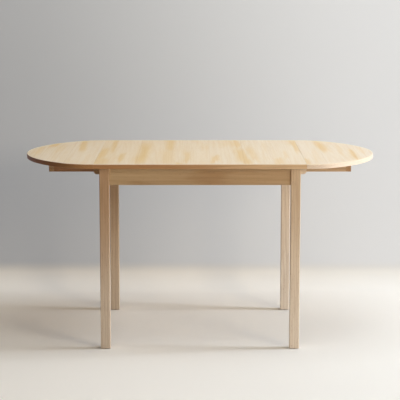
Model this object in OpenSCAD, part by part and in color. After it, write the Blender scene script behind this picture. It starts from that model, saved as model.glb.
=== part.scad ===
// Drop-leaf kitchen table: a fixed top on an apron frame, with a hinged leaf at each end.
// Millimetres, +Z up. The origin is on the floor under the middle of the table.
// X runs along the table, from the left leaf to the right leaf, and -Y is the front.
// The table stands with both leaves level. Each leaf drops by 90 degrees about its hinge pins.

/* [Table] */
// Height of the tabletop above the floor
table_h = 740; // [700:5:780]
// Length of the fixed top, between the two leaf joints
fixed_top_l = 822; // [780:2:900]
// Depth of the tabletop, front to back
top_d = 800; // [760:10:860]
// Thickness of the fixed top and the leaves
top_t = 18; // [16:1:22]
// Thickness of the lipping glued along the outer edges
lipping_t = 5; // [4:0.5:8]
// Radius of the lipping's upper and lower arrises
lipping_arris_r = 2; // [0.5:0.25:3]

/* [Leaves] */
// Length of a leaf, from its joint to its rounded end
leaf_l = 295; // [280:1:320]
// Radius of a leaf's two corners
leaf_corner_r = 195; // [150:5:205]
// Open line between the fixed top and a level leaf
joint_gap = 0.5; // [0.4:0.1:1]
// Chamfer along the upper arrises of the joint
joint_chamfer = 0.4; // [0.4:0.1:1.5]

/* [Legs] */
// Side of a leg's square section
leg_w = 38; // [34:1:45]
// Radius of a leg's long arrises
leg_arris_r = 3; // [1:0.5:5]
// Chamfer round the foot of a leg
foot_chamfer = 1; // [0.5:0.5:4]
// From a leg's outer face to the joint of the leaf beside it
end_overhang = 20.5; // [18:0.5:40]
// From a leg's front face to the front edge of the top
front_overhang = 44; // [30:1:60]
// Diameter of the glide under a leg
glide_d = 26; // [18:1:32]
// Height of the glide under a leg
glide_h = 2; // [2:0.5:8]
// Bevel round a glide's lower edge
glide_bevel = 1; // [0.5:0.25:1.5]

/* [Aprons] */
// Height of the aprons
apron_h = 70; // [60:1:90]
// Thickness of the aprons
apron_t = 20; // [16:1:24]
// From a leg's face back to the apron's face
apron_recess = 8; // [3:0.5:10]
// Thickness of the tenons
tenon_t = 9; // [6:1:10]
// Shoulder under each tenon
tenon_foot = 8; // [4:1:15]
// Shoulder over each tenon, where the leg is left closed
tenon_head = 12; // [6:1:20]
// Space left for glue between the mitred ends of two tenons
mitre_gap = 0.5; // [0.25:0.25:2]
// Chamfer along an apron's lower outer arris
apron_chamfer = 1.5; // [0.5:0.5:4]

/* [Corner blocks and buttons] */
// Thickness of a corner block, across the corner
block_t = 24; // [16:1:32]
// Height of a corner block
block_h = 52; // [30:1:58]
// From the underside of the top to a corner block
block_drop = 6; // [2:1:12]
// Space between a corner block and the leg's inner corner
block_relief = 4; // [1:0.5:8]
// Width of a button that holds the top down
button_w = 32; // [24:1:45]
// Length of a button's body, from the apron inward
button_l = 34; // [26:1:50]
// Height of a button's body
button_h = 17; // [15:1:24]
// Height of a button's tongue and of its slot
tongue_h = 7; // [5:0.5:9]
// How far a tongue reaches into the apron
tongue_l = 8; // [5:0.5:10]
// Free space below, beside and behind a tongue
tongue_play = 1; // [0.5:0.25:2]
// From the middle of the table to the buttons on the long aprons
button_x = 190; // [100:10:260]

/* [Leaf supports] */
// Width of a bearer, front to back
bearer_w = 22; // [16:1:28]
// Depth of the bearers and the cross bar under a leaf
bearer_h = 29; // [22:1:30]
// From the joint to the outer face of the cross bar
bearer_reach = 183; // [150:1:190]
// Width of the cross bar that ties a leaf's bearers
cross_bar_w = 20; // [16:1:28]
// From the joint to the inner ends of the bearers
bearer_set_off = 2; // [1.5:0.5:6]
// Length, width and height of the stub tenon at a bearer's outer end
stub = 10; // [6:1:12]
// From a bearer to the leaf stop beside it
bearer_to_stop = 25; // [15:1:40]
// Width of a leaf stop, front to back
stop_w = 30; // [20:1:40]
// Depth of a leaf stop under the top
stop_h = 32; // [28:1:50]
// Radius of a leaf stop's lower corner
stop_corner_r = 13; // [6:1:20]
// From a leaf stop to the leg beside it
stop_to_leg = 1; // [0.5:0.5:6]
// Space between a leaf stop and the hanging leaf
stop_gap = 0.3; // [0.2:0.1:0.5]

/* [Hinges] */
// From the underside of the top to the hinge axis
axis_drop = 4.2; // [4:0.1:5]
// Outer radius of a knuckle
knuckle_r = 3.8; // [3:0.1:3.8]
// Radius of a hinge pin
pin_r = 1.5; // [1:0.1:2]
// Radial play between the pin and the leaf's knuckles
pin_play = 0.05; // [0.02:0.01:0.09]
// Knuckles of one hinge, an odd number
knuckle_count = 5; // [3:2:7]
// Side play between neighbouring knuckles
knuckle_play = 0.3; // [0.2:0.1:0.5]
// Length of a hinge along its pin
hinge_l = 50; // [40:2:60]
// Width of a hinge plate, from the axis
plate_w = 26; // [20:1:28]
// Thickness of a hinge plate
plate_t = 2; // [1.5:0.25:2.5]
// Play between a plate and the other plate's knuckles
plate_play = 0.4; // [0.3:0.1:0.8]
// From the middle hinge of a leaf to the outer ones
hinge_pitch = 170; // [120:5:180]
// From a hinge plate's edges to its screw holes
plate_screw_inset = 7; // [5:0.5:8]

/* [Screw holes] */
// Diameter of a screw hole
screw_hole_d = 4; // [3:0.25:5]
// Diameter of a screw hole's countersink
countersink_d = 7.5; // [6:0.25:9]
// From a bearer's ends to its screw holes
bearer_screw_inset = 25; // [15:1:35]

/* [Hidden] */
$fn = 96;

// Where things are, worked out from the sizes above
joint_x = fixed_top_l / 2;
underside_z = table_h - top_t;
axis_z = underside_z - axis_drop;
half_d = top_d / 2;
leaf_x = joint_x + joint_gap / 2;
top_end_x = joint_x - joint_gap / 2;
leg_out_x = joint_x - end_overhang;
leg_in_x = leg_out_x - leg_w;
leg_out_y = half_d - front_overhang;
leg_in_y = leg_out_y - leg_w;
apron_out_x = leg_out_x - apron_recess;
apron_in_x = apron_out_x - apron_t;
apron_out_y = leg_out_y - apron_recess;
apron_in_y = apron_out_y - apron_t;
apron_z = underside_z - apron_h;
tenon_mid_x = (apron_out_x + apron_in_x) / 2;
tenon_mid_y = (apron_out_y + apron_in_y) / 2;
stop_mid_y = leg_in_y - stop_to_leg - stop_w / 2;
bearer_out_y = stop_mid_y - stop_w / 2 - bearer_to_stop;
bearer_mid_y = bearer_out_y - bearer_w / 2;
bearer_z = underside_z - bearer_h;
bar_out_x = joint_x + bearer_reach;
bar_in_x = bar_out_x - cross_bar_w;
knuckle_pitch = hinge_l / knuckle_count;

// Cheeks of the two tenons in the right back leg
tenon_x = [tenon_mid_x - tenon_t / 2, tenon_mid_x + tenon_t / 2];
tenon_y = [tenon_mid_y - tenon_t / 2, tenon_mid_y + tenon_t / 2];

// The leaf's outline is three arcs: a corner, the long end, and a corner.
// The end's radius follows from meeting both corners without a kink.
corner_y = half_d - leaf_corner_r;
end_r = (leaf_l ^ 2 + corner_y ^ 2 - leaf_corner_r ^ 2) / (2 * (leaf_l - leaf_corner_r));
end_x = leaf_x + leaf_l - end_r;

// Cuts reach this far past the surface that they open
past = 1;
// A tenon is drawn from this far inside its apron
tenon_root = 10;

SIDES = ["left", "right"];
ROWS = ["front", "back"];
HINGES = ["front", "middle", "back"];

NODES = concat(
    ["top_panel", "top_lipping_front", "top_lipping_back"],
    [for (s = SIDES) each [str("leaf_panel_", s), str("leaf_lipping_", s), str("cross_bar_", s)]],
    [for (s = SIDES, r = ROWS) each [
        str("leg_", s, "_", r), str("glide_", s, "_", r), str("corner_block_", s, "_", r),
        str("leaf_stop_", s, "_", r), str("bearer_", s, "_", r), str("button_", s, "_", r)]],
    ["apron_front", "apron_back", "apron_left", "apron_right", "button_left_end", "button_right_end"],
    [for (s = SIDES, h = HINGES) each [
        str("hinge_frame_plate_", s, "_", h), str("hinge_leaf_plate_", s, "_", h),
        str("hinge_pin_", s, "_", h)]]
);
node = "all";

TOP_WOOD = [0.89, 0.83, 0.73];
LIPPING_WOOD = [0.78, 0.66, 0.49];
FRAME_WOOD = [0.80, 0.68, 0.53];
SUPPORT_WOOD = [0.72, 0.59, 0.44];
HINGE_STEEL = [0.66, 0.66, 0.64];
PIN_STEEL = [0.50, 0.50, 0.50];
GLIDE_PLASTIC = [0.35, 0.32, 0.29];

// Each part is drawn at the right or the back, and mirrored to the left or the front
module at_side(side) {
    if (side == "left") mirror([1, 0, 0]) children();
    else children();
}

module at_row(row) {
    if (row == "front") mirror([0, 1, 0]) children();
    else children();
}

function hinge_y(place) = place == "middle" ? 0 : place == "front" ? -hinge_pitch : hinge_pitch;

// Square with rounded corners, centred
module rounded_square(side, r) {
    square([side, side - 2 * r], center = true);
    square([side - 2 * r, side], center = true);
    for (x = [-1, 1], y = [-1, 1])
        translate([x * (side / 2 - r), y * (side / 2 - r)]) circle(r);
}

// Section of the lipping: its inner face is at x = 0, and its outer arrises are rounded
module lipping_section() {
    square([lipping_t - lipping_arris_r, top_t]);
    translate([0, lipping_arris_r]) square([lipping_t, top_t - 2 * lipping_arris_r]);
    for (y = [lipping_arris_r, top_t - lipping_arris_r])
        translate([lipping_t - lipping_arris_r, y]) circle(lipping_arris_r);
}

// Prism that chamfers the upper arris at x = 0, along the whole depth of the table
module joint_chamfer_cut() {
    rotate([90, 0, 0]) linear_extrude(top_d + 2 * past, center = true)
        polygon([[-past, -joint_chamfer - past], [-past, past], [joint_chamfer + past, past]]);
}

// Fixed top
module top_panel() {
    panel_d = top_d - 2 * lipping_t;
    color(TOP_WOOD) difference() {
        translate([-top_end_x, -panel_d / 2, underside_z]) cube([2 * top_end_x, panel_d, top_t]);
        for (side = SIDES)
            at_side(side) translate([top_end_x, 0, table_h]) mirror([1, 0, 0]) joint_chamfer_cut();
    }
}

module top_lipping() {
    color(LIPPING_WOOD) difference() {
        translate([-top_end_x, half_d - lipping_t, underside_z])
            rotate([90, 0, 90]) linear_extrude(2 * top_end_x) lipping_section();
        for (side = SIDES)
            at_side(side) translate([top_end_x, 0, table_h]) mirror([1, 0, 0]) joint_chamfer_cut();
    }
}

// Leaf, drawn for the right end

// Plan of the sector that the end's arc bounds: its sides run through the corners' centres
module end_sector() {
    reach = 2 * end_r / (end_r - leaf_corner_r);
    far = [reach * (leaf_x - end_x), reach * corner_y];
    polygon([[0, 0], [far.x, -far.y], [2 * end_r, -far.y], [2 * end_r, far.y], far]);
}

// Plan of the leaf, drawn in from its outline by inset
module leaf_plan(inset) {
    intersection() {
        union() {
            translate([end_x, 0]) intersection() {
                circle(end_r - inset);
                end_sector();
            }
            for (y = [-corner_y, corner_y]) translate([leaf_x, y]) circle(leaf_corner_r - inset);
        }
        translate([leaf_x, -half_d]) square([leaf_l, top_d]);
    }
}

// The whole leaf, panel and lipping together, with its outer arrises rounded
module leaf_blank() {
    intersection() {
        union() {
            translate([end_x, 0, 0]) intersection() {
                round_blank(end_r);
                linear_extrude(top_t) end_sector();
            }
            for (y = [-corner_y, corner_y]) translate([leaf_x, y, 0]) round_blank(leaf_corner_r);
        }
        translate([leaf_x, -half_d, 0]) cube([leaf_l, top_d, top_t]);
    }
}

// Disc of the top's thickness, with its arrises rounded like the lipping's
module round_blank(r) {
    rotate_extrude() {
        square([r - lipping_t, top_t]);
        translate([r - lipping_t, 0]) lipping_section();
    }
}

module leaf_panel() {
    color(TOP_WOOD) difference() {
        translate([0, 0, underside_z]) linear_extrude(top_t) leaf_plan(lipping_t);
        translate([leaf_x, 0, table_h]) joint_chamfer_cut();
    }
}

module leaf_lipping() {
    color(LIPPING_WOOD) difference() {
        translate([0, 0, underside_z]) leaf_blank();
        translate([0, 0, underside_z - past]) linear_extrude(top_t + 2 * past) leaf_plan(lipping_t);
        translate([leaf_x, 0, table_h]) joint_chamfer_cut();
    }
}

// Tenons of the right back leg, which meet on a mitre inside it. Each starts inside its apron.
module long_tenon() {
    at_tenon_height() polygon([
        [leg_in_x - tenon_root, tenon_y[0]], [leg_in_x - tenon_root, tenon_y[1]],
        [tenon_x[1] - mitre_gap / 2, tenon_y[1]], [tenon_x[0] - mitre_gap / 2, tenon_y[0]]]);
}

module end_tenon() {
    at_tenon_height() polygon([
        [tenon_x[0], leg_in_y - tenon_root], [tenon_x[1], leg_in_y - tenon_root],
        [tenon_x[1], tenon_y[1] - mitre_gap / 2], [tenon_x[0], tenon_y[0] - mitre_gap / 2]]);
}

// The leg's two mortises run into each other
module mortises() {
    at_tenon_height() polygon([
        [leg_in_x - past, tenon_y[0]], [tenon_x[0], tenon_y[0]], [tenon_x[0], leg_in_y - past],
        [tenon_x[1], leg_in_y - past], [tenon_x[1], tenon_y[1]], [leg_in_x - past, tenon_y[1]]]);
}

module at_tenon_height() {
    translate([0, 0, apron_z + tenon_foot])
        linear_extrude(apron_h - tenon_foot - tenon_head) children();
}

// Leg, with its two mortises
module leg() {
    color(FRAME_WOOD) difference() {
        translate([leg_out_x - leg_w / 2, leg_out_y - leg_w / 2, glide_h]) difference() {
            linear_extrude(underside_z - glide_h) rounded_square(leg_w, leg_arris_r);
            for (turn = [0:90:270]) rotate([0, 0, turn]) foot_chamfer_cut();
        }
        mortises();
    }
}

// Prism that chamfers one lower edge of a leg that stands on the origin
module foot_chamfer_cut() {
    reach = foot_chamfer + past;
    translate([leg_w / 2, 0, 0]) rotate([90, 0, 0]) linear_extrude(leg_w + 2 * past, center = true)
        polygon([[past, reach], [past, -past], [-reach, -past]]);
}

module glide() {
    color(GLIDE_PLASTIC) translate([leg_out_x - leg_w / 2, leg_out_y - leg_w / 2, 0]) {
        cylinder(h = glide_bevel, d1 = glide_d - 2 * glide_bevel, d2 = glide_d);
        translate([0, 0, glide_bevel]) cylinder(h = glide_h - glide_bevel, d = glide_d);
    }
}

// Apron along the back
module long_apron() {
    color(FRAME_WOOD) difference() {
        union() {
            apron_board(leg_in_x, apron_in_y, [0, 0, 0]);
            for (side = SIDES) at_side(side) long_tenon();
        }
        for (side = SIDES) at_side(side) long_button_place() button_slot();
    }
}

// Apron across the right end
module end_apron() {
    color(FRAME_WOOD) difference() {
        union() {
            apron_board(leg_in_y, apron_in_x, [0, 0, -90]);
            for (row = ROWS) at_row(row) end_tenon();
        }
        end_button_place() button_slot();
    }
}

// Board between two legs, with its lower outer arris chamfered
module apron_board(half_l, inner, turn) {
    rotate(turn) translate([-half_l, inner, apron_z])
        rotate([90, 0, 90]) linear_extrude(2 * half_l) polygon([[0, 0], [0, apron_h],
            [apron_t, apron_h], [apron_t, apron_chamfer], [apron_t - apron_chamfer, 0]]);
}

// Block glued across an inside corner of the aprons
module corner_block() {
    near = (apron_in_x - leg_in_x) + (apron_in_y - leg_in_y) + block_relief * sqrt(2);
    far = near + block_t * sqrt(2);
    color(SUPPORT_WOOD) translate([0, 0, underside_z - block_drop - block_h])
        linear_extrude(block_h) polygon([
            [apron_in_x, apron_in_y - near], [apron_in_x - near, apron_in_y],
            [apron_in_x - far, apron_in_y], [apron_in_x, apron_in_y - far]]);
}

// Button, drawn with the apron's inner face at y = 0 and the underside of the top at z = 0
module button() {
    color(SUPPORT_WOOD) difference() {
        union() {
            translate([-button_w / 2, -button_l, -button_h]) cube([button_w, button_l, button_h]);
            translate([-button_w / 2, -past, -button_h]) cube([button_w, tongue_l + past, tongue_h]);
        }
        translate([0, -button_l / 2, -button_h]) screw_hole(button_h);
    }
}

// Slot for a button's tongue, which bears on the slot's upper face
module button_slot() {
    slot_w = button_w + 2 * tongue_play;
    translate([-slot_w / 2, -past, -button_h - tongue_play])
        cube([slot_w, tongue_l + tongue_play + past, tongue_h + tongue_play]);
}

module long_button_place() translate([button_x, apron_in_y, underside_z]) children();
module end_button_place() translate([apron_in_x, 0, underside_z]) rotate([0, 0, -90]) children();

// Countersunk hole that is driven upward from z = 0
module screw_hole(depth) {
    sink = (countersink_d - screw_hole_d) / 2;
    translate([0, 0, -past]) cylinder(h = depth + 2 * past, d = screw_hole_d);
    cylinder(h = sink, d1 = countersink_d, d2 = screw_hole_d);
}

// Leaf supports, drawn for the right end: stops on the frame, bearers and a cross bar on the leaf

// The stop's nose keeps inside the path of the leaf's underside, which turns about the hinge axis
module leaf_stop() {
    nose = axis_drop - stop_gap;
    back = apron_out_x - joint_x;
    bottom = axis_drop - stop_h;
    color(SUPPORT_WOOD) difference() {
        translate([joint_x, stop_mid_y, axis_z])
            rotate([90, 0, 0]) linear_extrude(stop_w, center = true) {
                translate([back, 0]) square([-back, axis_drop]);
                circle(nose);
                translate([back, bottom + stop_corner_r]) square([nose - back, -bottom - stop_corner_r]);
                translate([back, bottom]) square([nose - stop_corner_r - back, -bottom]);
                translate([nose - stop_corner_r, bottom + stop_corner_r]) circle(stop_corner_r);
            }
        for (y = [-stop_w / 4, stop_w / 4])
            translate([(apron_out_x + top_end_x) / 2, stop_mid_y + y, underside_z - stop_h])
                screw_hole(stop_h);
    }
}

module bearer() {
    start_x = joint_x + bearer_set_off;
    color(SUPPORT_WOOD) difference() {
        union() {
            translate([start_x, bearer_mid_y - bearer_w / 2, bearer_z])
                cube([bar_in_x - start_x, bearer_w, bearer_h]);
            bearer_stub();
        }
        for (x = [start_x + bearer_screw_inset, bar_in_x - bearer_screw_inset])
            translate([x, bearer_mid_y, bearer_z]) screw_hole(bearer_h);
    }
}

// Stub tenon at a bearer's outer end
module bearer_stub() {
    translate([bar_in_x - past, bearer_mid_y - stub / 2, bearer_z + (bearer_h - stub) / 2])
        cube([stub + past, stub, stub]);
}

module cross_bar() {
    color(SUPPORT_WOOD) difference() {
        translate([bar_in_x, -bearer_out_y, bearer_z])
            cube([cross_bar_w, 2 * bearer_out_y, bearer_h]);
        for (row = ROWS) at_row(row) bearer_stub();
    }
}

// Hinges, drawn with the axis along Y through the origin and the leaf toward +X

// One plate toward +X with every other knuckle, from the knuckle numbered first
module hinge_plate(first, bore_r) {
    plate_start = knuckle_r + plate_play;
    color(HINGE_STEEL) difference() {
        union() {
            translate([plate_start, -hinge_l / 2, axis_drop - plate_t])
                cube([plate_w - plate_start, hinge_l, plate_t]);
            for (i = [first:2:knuckle_count - 1])
                translate([0, -hinge_l / 2 + i * knuckle_pitch + knuckle_play / 2, 0]) {
                    along_y() cylinder(h = knuckle_pitch - knuckle_play, r = knuckle_r);
                    translate([0, 0, knuckle_r - plate_t])
                        cube([plate_start, knuckle_pitch - knuckle_play, axis_drop - knuckle_r + plate_t]);
                }
        }
        translate([0, -hinge_l / 2 - past, 0]) along_y() cylinder(h = hinge_l + 2 * past, r = bore_r);
        for (at = plate_screws(plate_start))
            translate([at[0], at[1], axis_drop - plate_t]) screw_hole(plate_t);
    }
}

// Two screws beside the knuckles and one near the far edge
function plate_screws(plate_start) = [
    [plate_start + plate_screw_inset, plate_screw_inset - hinge_l / 2],
    [plate_start + plate_screw_inset, hinge_l / 2 - plate_screw_inset],
    [plate_w - plate_screw_inset, 0]];

module along_y() rotate([-90, 0, 0]) children();

module hinge_frame_plate() mirror([1, 0, 0]) hinge_plate(first = 0, bore_r = pin_r);
module hinge_leaf_plate() hinge_plate(first = 1, bore_r = pin_r + pin_play);

module hinge_pin() {
    color(PIN_STEEL) translate([0, -hinge_l / 2, 0]) along_y() cylinder(h = hinge_l, r = pin_r);
}

module hinge_place(side, place) {
    at_side(side) translate([joint_x, hinge_y(place), axis_z]) children();
}

function shown(name) = node == "all" || node == name;

if (shown("top_panel")) top_panel();
for (row = ROWS) {
    if (shown(str("top_lipping_", row))) at_row(row) top_lipping();
    if (shown(str("apron_", row))) at_row(row) long_apron();
}
for (side = SIDES) {
    if (shown(str("leaf_panel_", side))) at_side(side) leaf_panel();
    if (shown(str("leaf_lipping_", side))) at_side(side) leaf_lipping();
    if (shown(str("cross_bar_", side))) at_side(side) cross_bar();
    if (shown(str("apron_", side))) at_side(side) end_apron();
    if (shown(str("button_", side, "_end"))) at_side(side) end_button_place() button();
    for (row = ROWS) {
        if (shown(str("leg_", side, "_", row))) at_side(side) at_row(row) leg();
        if (shown(str("glide_", side, "_", row))) at_side(side) at_row(row) glide();
        if (shown(str("corner_block_", side, "_", row))) at_side(side) at_row(row) corner_block();
        if (shown(str("leaf_stop_", side, "_", row))) at_side(side) at_row(row) leaf_stop();
        if (shown(str("bearer_", side, "_", row))) at_side(side) at_row(row) bearer();
        if (shown(str("button_", side, "_", row))) at_side(side) at_row(row) long_button_place() button();
    }
    for (place = HINGES) {
        if (shown(str("hinge_frame_plate_", side, "_", place))) hinge_place(side, place) hinge_frame_plate();
        if (shown(str("hinge_leaf_plate_", side, "_", place))) hinge_place(side, place) hinge_leaf_plate();
        if (shown(str("hinge_pin_", side, "_", place))) hinge_place(side, place) hinge_pin();
    }
}
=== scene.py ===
"""A drop-leaf kitchen table in pale birch.

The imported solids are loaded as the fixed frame. The three panels keep their solids' meshes. Every
other solid gives way to a merged copy, with its arrises eased on all but the lippings. The screws
are made here. Lengths are in metres.
"""

import enum
import logging
import math
from collections.abc import Mapping, Sequence
from dataclasses import dataclass, replace

import bmesh
import bpy
from mathutils import Matrix, Vector


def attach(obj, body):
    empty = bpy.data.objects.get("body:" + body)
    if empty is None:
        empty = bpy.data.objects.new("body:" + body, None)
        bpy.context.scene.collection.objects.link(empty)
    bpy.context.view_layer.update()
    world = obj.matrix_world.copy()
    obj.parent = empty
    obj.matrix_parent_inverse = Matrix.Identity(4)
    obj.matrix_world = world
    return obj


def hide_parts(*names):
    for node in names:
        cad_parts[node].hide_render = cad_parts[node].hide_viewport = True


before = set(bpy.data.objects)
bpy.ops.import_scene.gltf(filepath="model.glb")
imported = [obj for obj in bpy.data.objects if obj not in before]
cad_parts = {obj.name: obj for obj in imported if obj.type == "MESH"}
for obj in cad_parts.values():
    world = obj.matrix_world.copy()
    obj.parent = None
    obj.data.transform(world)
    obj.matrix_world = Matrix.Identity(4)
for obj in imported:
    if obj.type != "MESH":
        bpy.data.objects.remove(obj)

Colour = tuple[float, float, float, float]
Pair = tuple[Colour, Colour]
Settings = Mapping[str, object]
Sockets = Mapping[str | int, object]
LOG = logging.getLogger("drop_leaf_table")

# Middle along x, and radius, of the curve that the fibres of a leaf's lipping follow
END_CURVE_X = 0.2512
END_CURVE_R = 0.45
# How often the widths of glued staves swell across a panel, and by how much of a stave
STAVE_SWELL = (1.7, 0.26)
# How far the seed of a piece shifts the choice of its staves, and its figure along the fibres
SEED_STEPS = (7.31, 3.1)
# Furthest shift of a stave's figure along its fibres
STAVE_SLIP = 5.0
# Where a stave's edge turns into a glue line, as shares of its width from its middle
GLUE_LINE = (0.4915, 0.4975)


class Part(enum.Enum):
    """Part of the table, by the sign of its place on an axis."""

    @property
    def word(self) -> str:
        """Word for this part in the names of the solids."""
        return self.name.lower()


class Side(Part):
    """End of the table that a piece belongs to."""

    LEFT = -1
    RIGHT = 1


class Row(Part):
    """Long side of the table that a piece belongs to."""

    FRONT = -1
    BACK = 1


class Slot(enum.Enum):
    """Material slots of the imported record."""

    TOP_WOOD = "top_wood"
    LIPPING_WOOD = "lipping_wood"
    FRAME_WOOD = "frame_wood"
    SUPPORT_WOOD = "support_wood"
    HINGE_STEEL = "hinge_steel"
    PIN_STEEL = "pin_steel"
    GLIDE_PLASTIC = "glide_plastic"


class Grain(enum.Enum):
    """Way that the fibres of a piece of wood run."""

    LENGTHWISE = "x"
    FRONT_TO_BACK = "y"
    UPRIGHT = "z"
    ROUND_THE_END = "round"

    @property
    def ends(self) -> tuple[float, float]:
        """Places along the fibres between which the painted light and painted shade of the longest pieces
        change.
        """
        ends = {"x": (-0.41, 0.41), "y": (-0.4, 0.4), "z": (0.0, 0.72), "round": (0.15, 0.53)}
        return ends[self.value]

    def run(self, recipe: "Recipe") -> "Run":
        """Turns the place on a piece into the place in its wood.

        Args:
            recipe: Material that is being made.

        Returns:
            The place in the wood.
        """
        x, y, z = recipe.split(recipe.place())
        if self is Grain.LENGTHWISE:
            return Run(x, z, y)
        if self is Grain.FRONT_TO_BACK:
            return Run(y, x, z)
        if self is Grain.UPRIGHT:
            return Run(z, x, y)
        out = abs(x) - END_CURVE_X
        angle = recipe.maths("ARCTAN2", y, out)
        return Run(angle * END_CURVE_R, z, recipe.maths("SQRT", out * out + y * y))

    def end_grain(self, recipe: "Recipe") -> "Signal":
        """1 where a straight piece's surface is end grain, and 0 where the fibres lie in it."""
        facing = dict(zip("xyz", recipe.split(recipe.place("Normal"))))
        return abs(facing[self.value]).between(0.6, 0.95)


def painted(red: float, green: float, blue: float) -> Colour:
    """Turns a colour as a screen shows it into the linear colour of a shader.

    Args:
        red: Red from 0 to 255.
        green: Green from 0 to 255.
        blue: Blue from 0 to 255.

    Returns:
        The linear colour, opaque.
    """
    parts = [value / 255 for value in (red, green, blue)]
    linear = [part / 12.92 if part < 0.04045 else ((part + 0.055) / 1.055) ** 2.4 for part in parts]
    return (linear[0], linear[1], linear[2], 1.0)


class Signal:
    """A shader value that joins in sums, where each operator adds its Math node."""

    def __init__(self, recipe: "Recipe", socket: bpy.types.NodeSocket) -> None:
        """Keeps the socket and the recipe that it belongs to."""
        self.recipe = recipe
        self.socket = socket

    def __add__(self, other: "Signal | float") -> "Signal":
        """Sum of two values."""
        return self.recipe.maths("ADD", self, other)

    def __radd__(self, other: float) -> "Signal":
        """Sum of a number and this value."""
        return self.recipe.maths("ADD", other, self)

    def __sub__(self, other: "Signal | float") -> "Signal":
        """Difference of two values."""
        return self.recipe.maths("SUBTRACT", self, other)

    def __rsub__(self, other: float) -> "Signal":
        """A number less this value."""
        return self.recipe.maths("SUBTRACT", other, self)

    def __mul__(self, other: "Signal | float") -> "Signal":
        """Product of two values."""
        return self.recipe.maths("MULTIPLY", self, other)

    def __truediv__(self, other: float) -> "Signal":
        """This value divided by a number."""
        return self.recipe.maths("DIVIDE", self, other)

    def __pow__(self, other: float) -> "Signal":
        """This value raised to a power."""
        return self.recipe.maths("POWER", self, other)

    def __abs__(self) -> "Signal":
        """This value without its sign."""
        return self.recipe.maths("ABSOLUTE", self)

    def whole(self) -> "Signal":
        """Whole part of this value."""
        return self.recipe.maths("FLOOR", self)

    def part(self) -> "Signal":
        """What is left of this value above its whole part."""
        return self.recipe.maths("FRACT", self)

    def between(self, low: float, high: float) -> "Signal":
        """Smooth step of this value from 0 at low to 1 at high."""
        inputs = {"Value": self, "From Min": low, "From Max": high}
        return self.recipe.signal("ShaderNodeMapRange", {"interpolation_type": "SMOOTHSTEP"}, inputs)


class Recipe:
    """The nodes of a material or of the world while they are laid out."""

    def __init__(self, owner: bpy.types.Material | bpy.types.World) -> None:
        """Starts with an emptied node tree.

        Args:
            owner: Material or world that the nodes are for.
        """
        owner.use_nodes = True
        self.tree = owner.node_tree
        self.tree.nodes.clear()

    def node(self, kind: str, settings: Settings, inputs: Sockets) -> bpy.types.Node:
        """Adds one node.

        Args:
            kind: Type of the node.
            settings: Its settings, made before its sockets are filled.
            inputs: Values or signals of its sockets, by name or place.

        Returns:
            The node.
        """
        made = self.tree.nodes.new(kind)
        for name, value in settings.items():
            setattr(made, name, value)
        for key, value in inputs.items():
            if isinstance(value, Signal):
                self.tree.links.new(value.socket, made.inputs[key])
            else:
                made.inputs[key].default_value = value
        return made

    def signal(self, kind: str, settings: Settings, inputs: Sockets, output: str | int = 0) -> Signal:
        """One output, by name or place, of a new node."""
        return Signal(self, self.node(kind, settings, inputs).outputs[output])

    def maths(self, operation: str, *values: Signal | float) -> Signal:
        """Result of a Math node on the values."""
        return self.signal("ShaderNodeMath", {"operation": operation}, dict(enumerate(values)))

    def point(self, x: Signal, y: Signal, z: Signal) -> Signal:
        """Vector of three values."""
        return self.signal("ShaderNodeCombineXYZ", {}, {0: x, 1: y, 2: z})

    def blend(self, share: Signal | float, first: Signal | Colour, second: Signal | Colour) -> Signal:
        """Colour between two colours."""
        inputs = {0: share, 6: first, 7: second}
        return self.signal("ShaderNodeMix", {"data_type": "RGBA"}, inputs, 2)

    def noise(self, place: Signal, scale: float, detail: float) -> Signal:
        """Soft noise from about 0.2 to 0.8 at a place."""
        inputs = {"Vector": place, "Scale": scale, "Detail": detail}
        return self.signal("ShaderNodeTexNoise", {}, inputs)

    def split(self, vector: Signal) -> tuple[Signal, Signal, Signal]:
        """The three parts of a vector or colour."""
        first, second, third = self.node("ShaderNodeSeparateXYZ", {}, {0: vector}).outputs
        return Signal(self, first), Signal(self, second), Signal(self, third)

    def place(self, kind: str = "Object") -> Signal:
        """Place on the object, or another of its texture coordinates."""
        return self.signal("ShaderNodeTexCoord", {}, {}, kind)

    def relief(self, height: Signal, depth: float, strength: float) -> Signal:
        """Normal of a surface with fine relief."""
        inputs = {"Height": height, "Distance": depth, "Strength": strength}
        return self.signal("ShaderNodeBump", {}, inputs)

    def close(self, shader: Sockets) -> None:
        """Ends a material with its shader."""
        surface = self.signal("ShaderNodeBsdfPrincipled", {}, shader)
        self.node("ShaderNodeOutputMaterial", {}, {"Surface": surface})


@dataclass(frozen=True)
class Run:
    """Place in the wood, in metres along the fibres, across them and through it."""

    along: Signal
    across: Signal
    deep: Signal

    def moved(self, step: Signal | float) -> "Run":
        """The place that lies a step further along the fibres."""
        return replace(self, along=self.along + step)


@dataclass(frozen=True)
class Strands:
    """Noise that is drawn out along the fibres, by how often it changes in a metre."""

    across: float
    along: float
    detail: float

    def lay(self, recipe: Recipe, run: Run) -> Signal:
        """The noise at a place in the wood."""
        wide, long, deep = run.across * self.across, run.along * self.along, run.deep * self.across
        return recipe.noise(recipe.point(wide, long, deep), 1.0, self.detail)


BENDS = Strands(across=7.0, along=1.3, detail=2.0)
PATCHES = Strands(across=12.0, along=2.6, detail=2.5)
VEINS = Strands(across=62.0, along=1.5, detail=3.0)
FIBRES = Strands(across=640.0, along=11.0, detail=2.0)
FLECKS = Strands(across=420.0, along=70.0, detail=1.0)


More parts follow.
